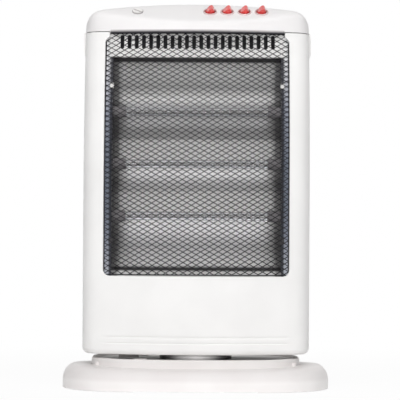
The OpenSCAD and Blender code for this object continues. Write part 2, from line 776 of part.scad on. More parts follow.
// What is cut off the top edge, between the tabs.
module between_tabs() {
  ends = concat([-head_w], [for (x = tab_x) each [x - tab_w / 2, x + tab_w / 2]], [head_w]);
  through_y(-70, 10) for (i = [0 : 2 : len(ends) - 2])
    translate([ends[i], guard_z1]) square([ends[i + 1] - ends[i], 9]);
}

module mesh_guard() {
  color("black") difference() {
    guard_sheet();
    guard_holes();
    between_tabs();
  }
}

// Back of the guard.
function guard_y(x, z) =
  guard_r - head_front + guard_set - sqrt(pow(guard_r - guard_t - back_at(z), 2) - x * x);

guard_clip_w = 4.5;
guard_clip_h = 6;
guard_clip_x = trough_w / 2 + 1;
guard_clip_in = 33;             // from the trough's lower and upper edge
guard_clip_z = [recess_bottom + guard_clip_in, recess_top - guard_clip_in];

// Small pads between the guard and the trough's flanges.
module guard_clips() {
  edge = guard_clip_x + guard_clip_w / 2;
  color("gainsboro") for (s = [-1, 1], z = guard_clip_z) translate([s * guard_clip_x, 0, 0])
    along_x(guard_clip_w / 2) polygon(concat(
      [for (k = [-1, 1]) let (h = z + k * guard_clip_h / 2) [guard_y(edge, h) + seat / 2, h]],
      [for (k = [1, -1]) let (h = z + k * guard_clip_h / 2) [face_y(h) - fit, h]]));
}

// ---------- reflector ----------

function face_y(z) = -head_front + back_at(z) + face_set;

tube_at = [for (i = [1, 0, -1]) tube_z + i * tube_pitch];
ridge_at = [tube_z + tube_pitch / 2, tube_z - tube_pitch / 2];

// Three bowls behind the tubes, with ridges between them and flared mouths at the ends.
// A side of a bowl goes between its middle and one edge, without the point where it starts.
function bowl_side(mid, edge_z, edge_y, n, outwards) =
  [for (i = [1 : n]) let (t = outwards ? i / n : 1 - i / n)
   [trough_y - (trough_y - edge_y) * t * t, mid + (edge_z - mid) * t]];

function trough_curve(n) = concat(
  [[face_y(recess_top), recess_top]],
  bowl_side(tube_at[0], recess_top, face_y(recess_top), n, false),
  [for (k = [0, 1]) each concat(
    bowl_side(tube_at[k], ridge_at[k], ridge_y, n, true),
    bowl_side(tube_at[k + 1], ridge_at[k], ridge_y, n, false))],
  bowl_side(tube_at[2], recess_bottom, face_y(recess_bottom), n, true));

sheet_curve = concat(
  [for (z = [face_top, seam_z - 7, seam_z - 18, recess_top + 3]) [face_y(z), z]],
  trough_curve(10),
  [[face_y(face_bottom), face_bottom]]);

module along_x(half) {
  rotate([90, 0, 90]) translate([0, 0, -half]) linear_extrude(2 * half) children();
}

module reflector() {
  slot_z = seam_z - 12;         // middle of the slots
  color("silver") difference() {
    along_x(trough_w / 2) polygon(concat(sheet_curve,
      [for (i = [len(sheet_curve) - 1 : -1 : 0]) sheet_curve[i] + [sheet_t, 0]]));
    for (i = [0 : slot_count - 1]) translate([(i - (slot_count - 1) / 2) * slot_pitch, 0, 0])
      through_y(-30, 8) translate([0, slot_z]) round_rect(slot_w, slot_len, slot_w / 2 - eps);
  }
}

function face_line(z1, n = 16) =
  [for (i = [0 : n]) let (z = face_bottom + (z1 - face_bottom) * i / n) [face_y(z), z]];

// End plate of the trough, with holes for the ceramic ends and a flange behind the window's edge.
module reflector_end(s) {
  front = face_line(face_top);
  edge = face_line(seam_z - 1);
  color("silver") difference() {
    union() {
      translate([s * (trough_w / 2 + sheet_t / 2), 0, 0]) along_x(sheet_t / 2)
        polygon(concat(front, [[trough_y + 4, face_top], [trough_y + 4, face_bottom]]));
      translate([s * (trough_w / 2 + flange_w / 2), 0, 0]) along_x(flange_w / 2)
        polygon(concat(edge, [for (i = [len(edge) - 1 : -1 : 0]) edge[i] + [sheet_t, 0]]));
    }
    for (z = tube_at) translate([0, -tube_y, z]) along_x_cylinder(ceramic_d / 2 + seat);
  }
}

module along_x_cylinder(r) {
  rotate([0, 90, 0]) cylinder(r = r, h = 300, center = true);
}

module reflector_end_left() { reflector_end(-1); }
module reflector_end_right() { reflector_end(1); }

// Spring steel strip that holds the tubes' ends.
module tube_bracket(s) {
  x0 = trough_w / 2 + sheet_t;
  z0 = tube_at[2] - 26;
  z1 = tube_at[0] + 26;
  color("silver") mirror([s > 0 ? 0 : 1, 0, 0]) {
    difference() {
      translate([ceramic_x1, -tube_y - 8, z0]) cube([1, 16, z1 - z0]);
      for (z = tube_at) translate([0, -tube_y, z]) along_x_cylinder(2.5);
    }
    for (z = [z0, z1 - 1]) translate([x0, -tube_y - 8, z]) cube([ceramic_x1 - x0 + eps, 16, 1]);
  }
}

ceramic_x0 = trough_w / 2 - 15; // inner ends of the ceramics, inside the trough
ceramic_x1 = ceramic_x0 + ceramic_len;

module tube_bracket_left() { tube_bracket(-1); }
module tube_bracket_right() { tube_bracket(1); }

module quartz_tube(i) {
  color("lightgray", 0.5) translate([0, -tube_y, tube_at[i - 1]]) rotate([0, 90, 0])
    translate([0, 0, -ceramic_x0 - 6]) tube(tube_d / 2, tube_d / 2 - tube_wall, 2 * ceramic_x0 + 12);
}

module heating_coil(i) {
  color("dimgray") translate([0, -tube_y, tube_at[i - 1]]) rotate([0, 90, 0]) {
    cylinder(r = 1.2, h = 2 * ceramic_x0 + 12, center = true);
    for (x = [-75 : 25 : 75]) translate([0, 0, x])
      cylinder(r = tube_d / 2 - tube_wall - seat, h = 0.5, center = true);
  }
}

module ceramic_ends(i) {
  color("ivory") for (s = [-1, 1]) translate([0, -tube_y, tube_at[i - 1]]) rotate([0, s * 90, 0])
    translate([0, 0, ceramic_x0]) difference() {
      union() {
        cylinder(r = ceramic_d / 2, h = ceramic_len);
        translate([0, 0, ceramic_len - eps]) cylinder(r = 2.3, h = 5);
      }
      translate([0, 0, -1]) cylinder(r = tube_d / 2 + 0.05, h = 8);
    }
}

block_at = [40, 20];            // left front corner of the terminal block
block_d = 16;
block_h = 14;
pole_count = 6;
pole_pitch = 8;

module terminal_block() {
  z0 = head_plate_z + head_plate_t;
  color("ivory") translate([block_at.x, block_at.y, z0]) difference() {
    cube([pole_count * pole_pitch, block_d, block_h]);
    for (i = [0 : pole_count - 1]) translate([(i + 0.5) * pole_pitch, block_d / 2, block_h / 2]) {
      cylinder(r = 2.2, h = block_h);
      rotate([90, 0, 0]) cylinder(r = 1.8, h = 2 * block_d, center = true);
    }
  }
}

// It sits on the right end plate, above the bracket of the tubes.
module thermal_cutout() {
  color("dimgray") translate([trough_w / 2 + sheet_t, -4, tube_at[0] + 43.5]) rotate([0, 90, 0]) {
    cylinder(r = 8, h = 6);
    translate([0, 0, 6 - eps]) cylinder(r = 5, h = 4);
  }
}

// ---------- drawing ----------

base_shell();
base_plate();
foot_pads();
base_screws();
turntable_ring();
pivot_bush();
swing_motor();
tip_switch();
tip_plunger();
motor_shaft();
crank();
front_housing();
rear_housing();
top_cap();
bottom_plate();
pivot_sleeve();
swing_arm();
retaining_clip();
swing_stop();
mesh_guard();
guard_clips();
reflector();
reflector_end_left();
reflector_end_right();
tube_bracket_left();
tube_bracket_right();
handle_cup();
cord_inlet();
terminal_block();
thermal_cutout();
round_plug();
housing_screws();
for (i = [1 : 3]) quartz_tube(i);
for (i = [1 : 3]) heating_coil(i);
for (i = [1 : 3]) ceramic_ends(i);
for (i = [1 : switch_count]) switch_body(i);
for (i = [1 : switch_count]) rocker(i);
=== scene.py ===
import json
import math
import bpy
import bmesh
from mathutils import Matrix, Vector


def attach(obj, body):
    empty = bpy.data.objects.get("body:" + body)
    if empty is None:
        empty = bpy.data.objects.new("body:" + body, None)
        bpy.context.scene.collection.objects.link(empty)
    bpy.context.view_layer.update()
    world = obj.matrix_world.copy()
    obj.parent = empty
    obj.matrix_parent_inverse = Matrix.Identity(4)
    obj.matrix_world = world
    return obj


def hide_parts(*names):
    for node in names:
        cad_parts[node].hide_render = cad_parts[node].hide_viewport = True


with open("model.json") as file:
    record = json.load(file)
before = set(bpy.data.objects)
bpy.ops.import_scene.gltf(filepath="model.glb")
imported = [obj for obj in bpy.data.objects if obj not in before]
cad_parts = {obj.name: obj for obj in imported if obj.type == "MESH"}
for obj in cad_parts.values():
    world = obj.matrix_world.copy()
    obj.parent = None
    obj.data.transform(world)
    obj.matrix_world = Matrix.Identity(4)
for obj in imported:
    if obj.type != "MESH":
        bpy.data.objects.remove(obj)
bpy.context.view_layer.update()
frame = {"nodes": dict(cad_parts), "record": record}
scene = bpy.context.scene
mm = 0.001  # the script counts in millimetres, Blender in metres
white = (1, 1, 1, 1)

# the body's main curves, as the CAD has them
body = {"width": 262, "front": -58, "split": 17, "low": 41, "seam": 414, "cornerR": 24, "frontR": 400,
        "sweepR": 560, "sweepZ": 220, "sweepFull": -8, "wall": 2.4, "edgeR": 7, "edgeFront": 0.35,
        "seamCut": 0.6, "seamGap": 0.7}


def sweepBack(z):  # how far the front has swept back at height z
    if z <= body["sweepZ"]:
        return 0.0
    return body["sweepR"] - math.sqrt(body["sweepR"] ** 2 - (z - body["sweepZ"]) ** 2)


# small helpers: colours, nodes and patterns

def srgb(code, alpha=1.0):  # "#rrggbb" to linear
    parts = [int(code[i:i + 2], 16) / 255 for i in (1, 3, 5)]
    return [c / 12.92 if c <= 0.04045 else ((c + 0.055) / 1.055) ** 2.4 for c in parts] + [alpha]


def addNode(tree, kind, links=None, values=None, **settings):
    made = tree.nodes.new(kind)
    for key, value in settings.items():
        setattr(made, key, value)
    for socket, value in (values or {}).items():
        made.inputs[socket].default_value = value
    for socket, source in (links or {}).items():
        tree.links.new(source, made.inputs[socket])
    return made


def newMaterial(name):
    made = bpy.data.materials.new(name)
    made.use_nodes = True
    tree = made.node_tree
    return made, tree, tree.nodes["Principled BSDF"]


def placeOf(tree, scale=(1, 1, 1)):  # object coordinates in millimetres, stretched by scale
    coords = addNode(tree, "ShaderNodeTexCoord")
    return addNode(tree, "ShaderNodeMapping", {"Vector": coords.outputs["Object"]},
                   {"Scale": [s / mm for s in scale]}).outputs["Vector"]


def rampBetween(tree, source, low, high, colourLow, colourHigh):
    ramp = addNode(tree, "ShaderNodeValToRGB", {"Fac": source})
    for stop, place, colour in zip(ramp.color_ramp.elements, (low, high), (colourLow, colourHigh)):
        stop.position = place
        stop.color = srgb(colour)
    return ramp.outputs["Color"]


def bumpFrom(tree, shader, height, strength, depth):
    bump = addNode(tree, "ShaderNodeBump", {"Height": height}, {"Strength": strength, "Distance": depth * mm})
    tree.links.new(bump.outputs["Normal"], shader.inputs["Normal"])


def setShader(shader, **values):
    for key, value in values.items():
        shader.inputs[key.replace("_", " ")].default_value = value


# materials

def mouldedPlastic(name, colour, deep, roughness, grain, depth, coat=0.0):
    # a spark-eroded grain breaks the gloss, drawn coarser than the real 0.1 mm so that it shows, and slow
    # waves in the colour keep large faces alive
    made, tree, shader = newMaterial(name)
    slow = addNode(tree, "ShaderNodeTexNoise", {"Vector": placeOf(tree, (1 / 55, 1 / 55, 1 / 55))},
                   {"Scale": 1.0, "Detail": 2.0})
    tint = rampBetween(tree, slow.outputs["Fac"], 0.35, 0.65, deep, colour)
    tree.links.new(tint, shader.inputs["Base Color"])
    fine = addNode(tree, "ShaderNodeTexNoise", {"Vector": placeOf(tree, (1 / grain,) * 3)},
                   {"Scale": 1.0, "Detail": 3.0})
    gloss = addNode(tree, "ShaderNodeMapRange", {"Value": fine.outputs["Fac"]},
                    {"To Min": roughness * 0.85, "To Max": roughness * 1.15})
    tree.links.new(gloss.outputs["Result"], shader.inputs["Roughness"])
    bumpFrom(tree, shader, fine.outputs["Fac"], 0.35, depth)
    setShader(shader, IOR=1.53, Coat_Weight=coat, Coat_Roughness=0.12)
    return made


def rolledMetal(name, colour, deep, roughness, lineWidth, along, depth):
    # rolling or turning lines, drawn coarser than real so that they show, stretch the highlights along one
    # direction, and a faint tarnish greys them
    made, tree, shader = newMaterial(name)
    stretch = [1 / (90 if along == axis else lineWidth) for axis in "xyz"]
    lines = addNode(tree, "ShaderNodeTexNoise", {"Vector": placeOf(tree, stretch)},
                    {"Scale": 1.0, "Detail": 4.0})
    cloud = addNode(tree, "ShaderNodeTexNoise", {"Vector": placeOf(tree, (1 / 30, 1 / 30, 1 / 30))},
                    {"Scale": 1.0, "Detail": 3.0})
    tint = rampBetween(tree, cloud.outputs["Fac"], 0.3, 0.7, deep, colour)
    tree.links.new(tint, shader.inputs["Base Color"])
    gloss = addNode(tree, "ShaderNodeMapRange", {"Value": lines.outputs["Fac"]},
                    {"To Min": roughness * 0.7, "To Max": roughness * 1.3})
    tree.links.new(gloss.outputs["Result"], shader.inputs["Roughness"])
    bumpFrom(tree, shader, lines.outputs["Fac"], 0.25, depth)
    setShader(shader, Metallic=1.0)
    return made


def axisOf(tree, axis, whole=False):  # one object coordinate in millimetres, or how far from the middle
    split = addNode(tree, "ShaderNodeSeparateXYZ", {"Vector": placeOf(tree)})
    place = split.outputs[axis]
    return place if whole else addNode(tree, "ShaderNodeMath", {0: place}, operation="ABSOLUTE").outputs[0]


def bandsAlong(tree, place, bands):  # bands: (millimetres, colour) from low to high
    low, high = bands[0][0], bands[-1][0]
    spread = addNode(tree, "ShaderNodeMapRange", {"Value": place}, {"From Min": low, "From Max": high})
    ramp = addNode(tree, "ShaderNodeValToRGB", {"Fac": spread.outputs["Result"]})
    stops = ramp.color_ramp.elements
    while len(stops) < len(bands):
        stops.new(0.5)
    for stop, (at, colour) in zip(stops, bands):
        stop.position = (at - low) / (high - low)
        stop.color = srgb(colour)
    return ramp.outputs["Color"]


def toned(tree, shader, colours):  # multiplies the shader's colour by each of these
    socket = shader.inputs["Base Color"]
    for colour in colours:
        mixed = addNode(tree, "ShaderNodeMix", {6: socket.links[0].from_socket, 7: colour}, {0: 1.0},
                        data_type="RGBA", blend_type="MULTIPLY")
        tree.links.new(mixed.outputs[2], socket)


def shareAbove(tree, place, low, high, atLow, atHigh):  # a value that changes between two places
    return addNode(tree, "ShaderNodeMapRange", {"Value": place},
                   {"From Min": low, "From Max": high, "To Min": atLow, "To Max": atHigh}).outputs["Result"]


def bothOf(tree, shareA, shareB):
    return addNode(tree, "ShaderNodeMath", {0: shareA, 1: shareB}, operation="MULTIPLY").outputs[0]


def onlyWhere(tree, share, colour):  # the colour where the share is 1, and white elsewhere
    return addNode(tree, "ShaderNodeMix", {0: share, 7: colour}, {6: white}, data_type="RGBA").outputs[2]


# painted shade: a dark colour multiplied into the faces at the back that look forwards
def paintedShadeInside(material, colour):  # faces at the back that look forwards are inside, out of the light
    tree = material.node_tree
    coords = addNode(tree, "ShaderNodeTexCoord")
    facing = addNode(tree, "ShaderNodeSeparateXYZ", {"Vector": coords.outputs["Normal"]}).outputs["Y"]
    inside = bothOf(tree, shareAbove(tree, facing, -0.8, -0.7, 1.0, 0.0),
                    shareAbove(tree, axisOf(tree, "Y", True), 20, 22, 0.0, 1.0))
    shade = addNode(tree, "ShaderNodeMix", {0: inside}, {6: white, 7: srgb(colour)}, data_type="RGBA")
    toned(tree, tree.nodes["Principled BSDF"], [shade.outputs[2]])


def clearGlass(name, colour, roughness):
    # fused quartz: almost clear, with faint draw lines along the tube
    made, tree, shader = newMaterial(name)
    lines = addNode(tree, "ShaderNodeTexNoise", {"Vector": placeOf(tree, (1 / 120, 1 / 1.2, 1 / 1.2))},
                    {"Scale": 1.0, "Detail": 2.0})
    gloss = addNode(tree, "ShaderNodeMapRange", {"Value": lines.outputs["Fac"]},
                    {"To Min": roughness * 0.5, "To Max": roughness * 2.0})
    tree.links.new(gloss.outputs["Result"], shader.inputs["Roughness"])
    bumpFrom(tree, shader, lines.outputs["Fac"], 0.3, 0.05)
    setShader(shader, Base_Color=srgb(colour), IOR=1.46, Transmission_Weight=1.0)
    return made


shellAbs = mouldedPlastic("whiteMouldedAbs", "#f5f4f3", "#f1f0ef", 0.38, 0.9, 0.04)
capAbs = mouldedPlastic("whiteCapAbs", "#f0eeee", "#eceaea", 0.34, 0.9, 0.03)
ringPlastic = mouldedPlastic("paleBezelPolycarbonate", "#e2cccb", "#d9c1c0", 0.22, 0.8, 0.02, 0.3)
rockerRed = mouldedPlastic("redRockerPolycarbonate", "#e8433f", "#da3634", 0.20, 0.7, 0.02, 0.5)
darkNylon = mouldedPlastic("darkGlassFilledNylon", "#4a4442", "#3d3836", 0.55, 0.6, 0.06)
naturalNylon = mouldedPlastic("naturalNylon", "#ddd6c6", "#d3ccbb", 0.5, 0.8, 0.05)
padRubber = mouldedPlastic("mouldedRubber", "#242322", "#1c1b1b", 0.8, 0.5, 0.08)
# the steatite's grey holds painted shade, so that the lamp ends match the trough's shaded ends
steatite = mouldedPlastic("pressedSteatite", "#8f8c8e", "#848183", 0.6, 0.5, 0.05)
clipNylon = mouldedPlastic("whiteClipNylon", "#fbfaf8", "#f5f4f1", 0.4, 0.8, 0.03)
stopNylon = mouldedPlastic("greyStopNylon", "#a5a09e", "#989391", 0.55, 0.6, 0.05)
meshEnamel = mouldedPlastic("blackStoveEnamel", "#242227", "#1b1a1d", 0.5, 0.5, 0.05)
setShader(meshEnamel.node_tree.nodes["Principled BSDF"], Specular_IOR_Level=0.2)  # baked dull
troughSheet = rolledMetal("polishedAluminiumSheet", "#fefdfc", "#f9f8f7", 0.3, 0.5, "x", 0.03)
zincSteel = rolledMetal("zincPlatedSteel", "#b9bcbf", "#a3a6aa", 0.34, 0.6, "y", 0.04)
ringSteel = rolledMetal("turnedPolishedSteel", "#fbfafa", "#f0eeef", 0.36, 0.5, "z", 0.02)
galvanised = rolledMetal("galvanisedSheet", "#d3d6d8", "#c2c6c9", 0.45, 3.0, "y", 0.05)
coilWire = rolledMetal("oxidisedResistanceWire", "#c6c2bf", "#b3aeab", 0.5, 0.4, "x", 0.02)
fusedQuartz = clearGlass("fusedQuartz", "#f7f8fa", 0.04)

# painted shade darkens the trough towards its ends and at its folds, and its bands along
# the height are painted light and shade, in part painted reflections of what the real sheet mirrors; the
# turned-down parts over the tubes and the flat sheet above are matt
sheetTone = {
    "fold": (383.5, 384.5),
    "ends": [(0, "#ffffff"), (86, "#ffffff"), (90, "#dcdcdc"), (92, "#a0a0a0"), (98, "#8a8a8a")],
    "height": [(120, "#e8e8e8"), (136, "#e8e8e8"), (137, "#3c3c3c"), (140, "#3c3c3c"), (143, "#ffffff"),
               (165, "#cccccc"), (186, "#ffffff"), (228, "#ffffff"), (230, "#cccccc"), (262, "#ffffff"),
               (288, "#ffffff"), (290, "#b8b8b8"), (328, "#b0b0b0"), (336, "#ffffff"), (350, "#c8c8c8"),
               (370, "#ffffff"), (377, "#ffffff"), (379, "#505050"), (383.4, "#505050"), (384, "#ffffff"),
               (420, "#ffffff")],
    "shine": [(120, "#404040"), (136, "#404040"), (137, "#b4b4b4"), (200, "#b4b4b4"), (204, "#303030"),
              (224, "#303030"), (228, "#b4b4b4"), (261, "#b4b4b4"), (265, "#303030"), (284, "#303030"),
              (288, "#b4b4b4"), (383.5, "#b4b4b4"), (384.5, "#101010"), (420, "#101010")]}
tree = troughSheet.node_tree
shader = tree.nodes["Principled BSDF"]
sheetHeight = axisOf(tree, "Z", True)
inTrough = shareAbove(tree, sheetHeight, *sheetTone["fold"], 1.0, 0.0)
# painted shade at the trough's ends, and painted shade and reflection bands up its height, multiplied into
# the sheet's colour
toned(tree, shader, [onlyWhere(tree, inTrough, bandsAlong(tree, axisOf(tree, "X"), sheetTone["ends"])),
                     bandsAlong(tree, sheetHeight, sheetTone["height"])])
tree.links.new(bandsAlong(tree, sheetHeight, sheetTone["shine"]), shader.inputs["Metallic"])

# the end plates' flanges look bright only near the top and blue-grey further down; below the fold their
# inner edges are in the trough's shade
endTone = {
    "metallic": 0.35,  # the oxide takes most of the mirror shine
    "height": [(120, "#c4c7ce"), (175, "#858a97"), (205, "#6e7582"), (262, "#6e7582"), (320, "#9a9fac"),
               (358, "#cdced4"), (395, "#f4f4f4"), (420, "#fafafa")],
    "inner": [(96, "#5c5c60"), (99.5, "#646468"), (101.5, "#ffffff"), (110, "#ffffff")]}
# its colour runs from bright at the top to blue-grey further down, graded by height alone
endSheet = rolledMetal("endSheetGreyingDownwards", "#fbfbfc", "#f4f5f6", 0.3, 0.5, "z", 0.03)
tree = endSheet.node_tree
shader = tree.nodes["Principled BSDF"]
setShader(shader, Metallic=endTone["metallic"])
endHeight = axisOf(tree, "Z", True)
underFold = shareAbove(tree, endHeight, *sheetTone["fold"], 1.0, 0.0)
toned(tree, shader, [bandsAlong(tree, endHeight, endTone["height"]),
                     onlyWhere(tree, underFold, bandsAlong(tree, axisOf(tree, "X"), endTone["inner"]))])

# the lower two guard clips are dark, the upper two white
clipTone = [(120, "#39373a"), (290, "#39373a"), (300, "#ffffff"), (420, "#ffffff")]
tree = clipNylon.node_tree
toned(tree, tree.nodes["Principled BSDF"], [bandsAlong(tree, axisOf(tree, "Z", True), clipTone)])

# the ring mirrors a bright front in its middle and a dark room at its sides; its colour holds that
ringTone = {
    "metallic": 0.55,  # fine turning lines scatter part of the light
    "across": [(0, "#ffffff"), (7, "#f4f4f4"), (20, "#cfcfcf"), (30, "#7c7c7c"), (38, "#3e3e3e"),
               (42, "#303030")]}
tree = ringSteel.node_tree
shader = tree.nodes["Principled BSDF"]
setShader(shader, Metallic=ringTone["metallic"])
toned(tree, shader, [bandsAlong(tree, axisOf(tree, "X"), ringTone["across"])])

# painted shade inside the white shells
paintedShadeInside(shellAbs, "#262527")
paintedShadeInside(capAbs, "#262527")

# the foot is a little greyer above its shoulder, where the body keeps the light off
footTone = [(0, "#ffffff"), (11, "#ffffff"), (15, "#f4f3f3"), (20, "#f0efef"), (36, "#ecebea")]
footAbs = mouldedPlastic("whiteFootAbs", "#faf7f6", "#f6f2f1", 0.4, 0.9, 0.04)
tree = footAbs.node_tree
toned(tree, tree.nodes["Principled BSDF"], [bandsAlong(tree, axisOf(tree, "Z", True), footTone)])

# the round plug: painted shade around its edge, and painted shade in its slanted coin slot
plug = {"x": -70, "y": -0.6, "slope": 0.835, "edge": 5.7, "edgeFade": 0.3, "edgeShadeColour": "#bab8b9",
        "slotTurn": 55, "slotHalf": 0.85, "slotFade": 0.15, "slotShadeColour": "#cccacb", "reach": 8}
plugAbs = mouldedPlastic("whitePlugAbs", "#f3f1ef", "#efedeb", 0.38, 0.9, 0.03)
tree = plugAbs.node_tree
fromPlug = addNode(tree, "ShaderNodeVectorMath", {0: placeOf(tree)}, {1: (-plug["x"], -plug["y"], 0)},
                   operation="ADD").outputs[0]
onPlug = addNode(tree, "ShaderNodeVectorMath", {0: fromPlug}, {1: (1, 1 / plug["slope"], 0)},
                 operation="MULTIPLY").outputs[0]
plugAway = addNode(tree, "ShaderNodeVectorMath", {0: onPlug}, operation="LENGTH").outputs["Value"]
slotTurn = math.radians(plug["slotTurn"])
slotWay = addNode(tree, "ShaderNodeVectorMath", {0: onPlug}, {1: (math.cos(slotTurn), math.sin(slotTurn), 0)},
                  operation="DOT_PRODUCT").outputs["Value"]
slotAway = addNode(tree, "ShaderNodeMath", {0: slotWay}, operation="ABSOLUTE").outputs[0]
toned(tree, tree.nodes["Principled BSDF"], [
    bandsAlong(tree, plugAway, [(0, "#ffffff"), (plug["edge"], "#ffffff"),
                                (plug["edge"] + plug["edgeFade"], plug["edgeShadeColour"]),
                                (plug["reach"], plug["edgeShadeColour"])]),
    bandsAlong(tree, slotAway, [(0, plug["slotShadeColour"]), (plug["slotHalf"], plug["slotShadeColour"]),
                                (plug["slotHalf"] + plug["slotFade"], "#ffffff"),
                                (plug["reach"], "#ffffff")])])

# painted shade on the cap over the window: the lip below the seam is painted dark, and the lower edge there,
# which curls in, greys with painted shade
lip = {"half": (100.6, 101.2), "back": (-6, -5),
       "height": [(410, "#26252a"), (413.1, "#2c2b30"), (413.7, "#a8a6a8"), (415.2, "#dcdada"),
                  (416.4, "#ffffff"), (430, "#ffffff")]}
tree = capAbs.node_tree
overWindow = bothOf(tree, shareAbove(tree, axisOf(tree, "X"), *lip["half"], 1.0, 0.0),
                    shareAbove(tree, axisOf(tree, "Y", True), *lip["back"], 1.0, 0.0))
lipShadeColour = bandsAlong(tree, axisOf(tree, "Z", True), lip["height"])
toned(tree, tree.nodes["Principled BSDF"], [onlyWhere(tree, overWindow, lipShadeColour)])

slotMaterial = {"white_abs": shellAbs, "black_steel": meshEnamel, "polished_aluminium": troughSheet,
                "steel": zincSteel, "polished_steel": ringSteel, "quartz": fusedQuartz, "coil": coilWire,
                "ceramic": steatite, "red_pc": rockerRed, "pale_bezel": ringPlastic, "rubber": padRubber,
                "dark_pa": darkNylon, "ivory_pa": naturalNylon, "zinc": galvanised}
nodeMaterial = {"top_cap": capAbs, "round_plug": plugAbs, "base_shell": footAbs, "swing_stop": stopNylon,
                "guard_clips": clipNylon, "reflector_end_left": endSheet, "reflector_end_right": endSheet}
print("materials made:", len(slotMaterial) + len(nodeMaterial))

# CAD nodes: materials, and smooth shading over their joined-up triangles

for part in frame["record"]["subparts"]:
    node = frame["nodes"][part["node"]]
    node.data.materials.clear()
    node.data.materials.append(nodeMaterial.get(part["node"], slotMaterial[part["material_slot"]]))
    node.data.shade_smooth()
    weld = node.modifiers.new("weld", "WELD")
    weld.merge_threshold = 0.002 * mm
    split = node.modifiers.new("edges", "EDGE_SPLIT")
    split.split_angle = math.radians(26)
print("CAD nodes dressed:", len(frame["nodes"]))


# pieces made here

def faceTowards(bm, towards):  # turns each separate sheet so that most of it faces that way
    left = set(bm.faces)
    while left:
        sheet, edge = [], [left.pop()]
        while edge:
            face = edge.pop()
            sheet.append(face)
            near = {f for e in face.edges for f in e.link_faces if f in left}
            left -= near
            edge.extend(near)
        if sum(f.normal.dot(towards) * f.calc_area() for f in sheet) < 0:
            bmesh.ops.reverse_faces(bm, faces=sheet)


def addPiece(name, bm, material, rides, replaced, thickness=0, bevel=0, sharp=35, towards=None):
    bmesh.ops.remove_doubles(bm, verts=bm.verts, dist=0.0005)
    bmesh.ops.recalc_face_normals(bm, faces=bm.faces)
    if towards:
        faceTowards(bm, Vector(towards))
    bmesh.ops.scale(bm, vec=(mm, mm, mm), verts=bm.verts)
    mesh = bpy.data.meshes.new(name)
    bm.to_mesh(mesh)
    bm.free()
    mesh.materials.append(material)
    mesh.shade_smooth()
    if not thickness and not bevel:
        mesh.set_sharp_from_angle(angle=math.radians(sharp))
    piece = bpy.data.objects.new(name, mesh)
    scene.collection.objects.link(piece)
    if thickness:
        wall = piece.modifiers.new("wall", "SOLIDIFY")
        wall.thickness = thickness * mm
        wall.offset = -1
    if bevel:
        edge = piece.modifiers.new("edge", "BEVEL")
        edge.width = bevel * mm
        edge.segments = 3
        edge.limit_method = "ANGLE"
        edge.angle_limit = math.radians(sharp)
        piece.modifiers.new("normals", "WEIGHTED_NORMAL").keep_sharp = True
    elif thickness:
        piece.modifiers.new("edges", "EDGE_SPLIT").split_angle = math.radians(sharp)
    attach(piece, rides)
    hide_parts(replaced)


def gridSheet(bm, x0, x1, z0, z1, across, up):  # flat sheet in the XZ plane, facing the front
    before = set(bm.verts)
    bmesh.ops.create_grid(bm, x_segments=across, y_segments=up, size=0.5)
    made = [v for v in bm.verts if v not in before]
    place = Matrix.Translation(((x0 + x1) / 2, 0, (z0 + z1) / 2)) @ Matrix.Rotation(math.pi / 2, 4, "X")
    bmesh.ops.transform(bm, matrix=place @ Matrix.Diagonal((x1 - x0, z1 - z0, 1, 1)), verts=made)


def cutPlane(bm, point, normal, clear=False, faces=None):
    part = faces if faces is not None else bm.faces
    geom = set(part)
    for face in part:
        geom.update(face.verts)
        geom.update(face.edges)
    bmesh.ops.bisect_plane(bm, geom=list(geom), dist=1e-5, plane_co=point, plane_no=normal, clear_outer=clear)


def lathe(bm, profile, centre, axis, steps):  # profile: (radius, height) along the axis from the centre
    turn = Vector((0, 0, 1)).rotation_difference(Vector(axis)).to_matrix().to_4x4()
    place = Matrix.Translation(centre) @ turn
    before = set(bm.verts)
    points = [bm.verts.new((r, 0, h)) for r, h in profile]
    edges = [bm.edges.new(pair) for pair in zip(points, points[1:] + points[:1])]
    bmesh.ops.spin(bm, geom=points + edges, cent=(0, 0, 0), axis=(0, 0, 1), dvec=(0, 0, 0),
                   angle=2 * math.pi, steps=steps, use_merge=True)
    bmesh.ops.transform(bm, matrix=place, verts=[v for v in bm.verts if v not in before])


# front housing: one curved sheet, its window cut out, then given its wall

front = {"across": 96, "up": 64, "edgeSteps": 8, "windowHalf": 107, "windowLow": 130.6, "lowR": 7.5,
         "cornerSteps": 6, "topIn": 5, "topCorner": ((0, 12), (0.25, 9.5), (0.9, 6.2), (1, 5.2), (1, -1)),
         "windowBefore": -5, "grooves": (54, 61), "grooveDeep": 0.75, "grooveHalf": 0.9, "grooveReach": 106,
         "grooveFade": 3, "bevel": 0.5}


def edgeInset(z):  # how far the lower edge's rounding and the seam's groove draw the outline in
    rise = body["edgeR"] - (z - body["low"])
    if rise > 0:
        return body["edgeR"] - math.sqrt(max(0.0, body["edgeR"] ** 2 - rise ** 2))
    return max(0.0, z - (body["seam"] - body["seamGap"] - body["seamCut"]))


def frontPoint(u, inset):  # u from -1 to 1 along the front, from the left edge at the split to the right one
    r, big, half = body["cornerR"] - inset, body["frontR"] - inset, body["width"] / 2 - inset
    low = body["front"] + inset
    cx = half - r
    a = math.asin(cx / (big - r))
    cy = low + big - math.sqrt((big - r) ** 2 - cx ** 2)
    arcLong, cornerLong = big * a, r * (math.pi / 2 - a)
    total = arcLong + cornerLong + body["split"] - cy
    s = abs(u) * total
    if s <= arcLong:
        x, y = big * math.sin(s / big), low + big * (1 - math.cos(s / big))
    elif s <= arcLong + cornerLong:
        t = a + (s - arcLong) / r
        x, y = cx + r * math.sin(t), cy - r * math.cos(t)
    else:
        x, y = half, cy + s - arcLong - cornerLong
    return math.copysign(x, u), y


